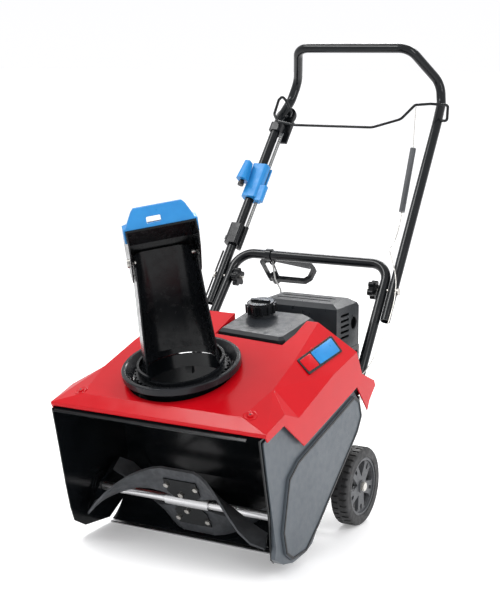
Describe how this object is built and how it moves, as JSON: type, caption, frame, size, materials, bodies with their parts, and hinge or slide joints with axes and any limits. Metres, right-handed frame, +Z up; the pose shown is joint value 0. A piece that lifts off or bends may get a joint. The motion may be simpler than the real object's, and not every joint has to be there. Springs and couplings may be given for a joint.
{
  "type": "single stage snowblower",
  "caption": "Walk-behind single stage snowblower: paddle rotor in an open-front housing, tilted discharge chute, small engine, two wheels and a folding loop handle.",
  "frame": {"origin": "on the ground under the middle of the machine's bounding box", "axes": "+Z up, -Y forward (the auger mouth), +X to the operator's left"},
  "size_m": [0.534, 1.093, 1.106],
  "materials": {
    "shroud_red": "gloss",
    "black_paint": "gloss",
    "grey_cover": "satin",
    "black_plastic": "satin",
    "engine_black": "satin",
    "rubber_black": "matte",
    "paddle_rubber": "satin",
    "tyre_rubber": "matte",
    "rim_grey": "satin",
    "zinc_steel": "satin",
    "bright_steel": "worn bright",
    "blue_plastic": "satin",
    "ring_grey": "satin",
    "cast_alloy": "cast",
    "rope_cord": "woven",
    "tank_white": "matte",
    "badge": "gloss",
    "strip_white": "satin"
  },
  "bodies": {
    "frame": {"auger_housing": "black_paint", "left_side_plate": "black_paint", "right_side_plate": "black_paint", "scraper": "bright_steel", "rotor_bearings": "black_plastic", "drive_case": "grey_cover", "belt_cover": "grey_cover", "shroud": "shroud_red", "chute_ring": "ring_grey", "tank_cover": "engine_black", "fuel_tank": "tank_white", "engine_cover": "engine_black", "muffler_guard": "black_paint", "muffler": "zinc_steel", "engine_block": "cast_alloy", "recoil_housing": "black_plastic", "starter_rope": "rope_cord", "rope_tail": "rope_cord", "chassis": "black_paint", "axle": "zinc_steel", "axle_caps": "zinc_steel", "lower_handle": "black_paint", "handle_bolts": "zinc_steel", "rope_guide": "black_paint", "chute_cable": "rope_cord", "bail_cable": "rubber_black", "drive_belt": "rubber_black", "badge_plate": "badge"},
    "rotor": {"rotor_shaft": "bright_steel", "rotor_paddles": "paddle_rubber", "rotor_plates": "black_paint", "rotor_bolts": "zinc_steel", "rotor_sheave": "zinc_steel"},
    "crank": {"crankshaft": "bright_steel", "crank_sheave": "zinc_steel"},
    "recoil": {"recoil_pulley": "black_plastic"},
    "chute_body": {"chute_base": "black_plastic", "chute": "black_plastic"},
    "hood": {"deflector": "black_plastic", "deflector_grip": "blue_plastic", "deflector_pivots": "zinc_steel"},
    "left_wheel": {"left_tyre": "tyre_rubber", "left_rim": "rim_grey"},
    "right_wheel": {"right_tyre": "tyre_rubber", "right_rim": "rim_grey"},
    "cap": {"fuel_cap": "black_plastic"},
    "upper": {"upper_handle": "black_paint", "control_brackets": "black_plastic", "control_strip": "strip_white", "cable_sleeve": "rim_grey", "bail_wire": "zinc_steel"},
    "bail": {"control_bail": "black_paint"},
    "slider": {"chute_slider": "blue_plastic"},
    "trigger": {"slider_trigger": "black_plastic"},
    "starter": {"starter_handle": "black_plastic"},
    "left_handle_knob": {"left_knob": "black_plastic"},
    "right_handle_knob": {"right_knob": "black_plastic"},
    "idler": {"idler_arm": "zinc_steel"},
    "idler_wheel": {"idler_pulley": "black_plastic"},
    "choke": {"choke_knob": "black_plastic"}
  },
  "joints": [
    {"name": "rotor_spin", "type": "hinge", "parent": "frame", "child": "rotor", "pos_m": [-0.021, -0.32937, 0.102], "axis": [1, 0, 0], "continuous": true},
    {"name": "crank_spin", "type": "hinge", "parent": "frame", "child": "crank", "pos_m": [0, -0.08237, 0.285], "axis": [1, 0, 0], "continuous": true},
    {"name": "recoil_spin", "type": "hinge", "parent": "frame", "child": "recoil", "pos_m": [-0.076, -0.08237, 0.285], "axis": [1, 0, 0], "range_deg": [0, 500]},
    {"name": "chute_turn", "type": "hinge", "parent": "frame", "child": "chute_body", "pos_m": [-0.021, -0.35637, 0.426], "axis": [0, -0.2588, 0.9659], "range_deg": [-125, 60]},
    {"name": "deflector_tilt", "type": "hinge", "parent": "chute_body", "child": "hood", "pos_m": [-0.01714, -0.425, 0.66436], "axis": [0.766, 0.6209, 0.1664], "range_deg": [0, 45]},
    {"name": "left_wheel_spin", "type": "hinge", "parent": "frame", "child": "left_wheel", "pos_m": [-0.24, -0.01637, 0.092], "axis": [1, 0, 0], "continuous": true},
    {"name": "right_wheel_spin", "type": "hinge", "parent": "frame", "child": "right_wheel", "pos_m": [0.24, -0.01637, 0.092], "axis": [1, 0, 0], "continuous": true},
    {"name": "fuel_cap_turn", "type": "hinge", "parent": "frame", "child": "cap", "pos_m": [0.024, -0.07669, 0.48613], "axis": [0, -0.153, 0.9882], "range_deg": [0, 90]},
    {"name": "handle_fold", "type": "hinge", "parent": "frame", "child": "upper", "pos_m": [0, 0.18143, 0.52], "axis": [1, 0, 0], "range_deg": [0, 75], "deforming": ["bail_cable", "chute_cable"]},
    {"name": "bail_swing", "type": "hinge", "parent": "upper", "child": "bail", "pos_m": [0, 0.48113, 0.913], "axis": [-1, 0, 0], "range_deg": [0, 45], "stiffness_Nm_per_rad": 0.5, "springref_deg": -25, "deforming": ["bail_wire"]},
    {"name": "chute_slider_travel", "type": "slide", "parent": "upper", "child": "slider", "axis": [0.0297, 0.6025, 0.7976], "range_m": [-0.042, 0.0875]},
    {"name": "trigger_press", "type": "slide", "parent": "slider", "child": "trigger", "axis": [0.0297, 0.6025, 0.7976], "range_m": [0, 0.005], "stiffness_N_per_m": 300, "springref_m": -0.002},
    {"name": "starter_pull", "type": "slide", "parent": "frame", "child": "starter", "axis": [0, 0.6, 0.8], "range_m": [0, 0.5], "deforming": ["rope_tail"]},
    {"name": "left_knob_turn", "type": "hinge", "parent": "frame", "child": "left_handle_knob", "pos_m": [-0.19, 0.18143, 0.52], "axis": [1, 0, 0], "continuous": true},
    {"name": "right_knob_turn", "type": "hinge", "parent": "frame", "child": "right_handle_knob", "pos_m": [0.19, 0.18143, 0.52], "axis": [1, 0, 0], "continuous": true},
    {"name": "idler_swing", "type": "hinge", "parent": "frame", "child": "idler", "pos_m": [0, -0.20937, 0.3], "axis": [1, 0, 0], "range_deg": [0, 18]},
    {"name": "idler_wheel_spin", "type": "hinge", "parent": "idler", "child": "idler_wheel", "pos_m": [0, -0.23537, 0.262], "axis": [1, 0, 0], "continuous": true},
    {"name": "choke_turn", "type": "hinge", "parent": "frame", "child": "choke", "pos_m": [0.148, 0.09863, 0.458], "axis": [0, 1, 0], "range_deg": [0, 90]}
  ],
  "couplings": [
    {"joint": "crank_spin", "follows": "rotor_spin", "ratio": 2.144},
    {"joint": "chute_slider_travel", "follows": "chute_turn", "m_per_rad": -0.04},
    {"joint": "idler_swing", "follows": "bail_swing", "ratio": 0.4},
    {"joint": "recoil_spin", "follows": "starter_pull", "rad_per_m": 17.2}
  ]
}
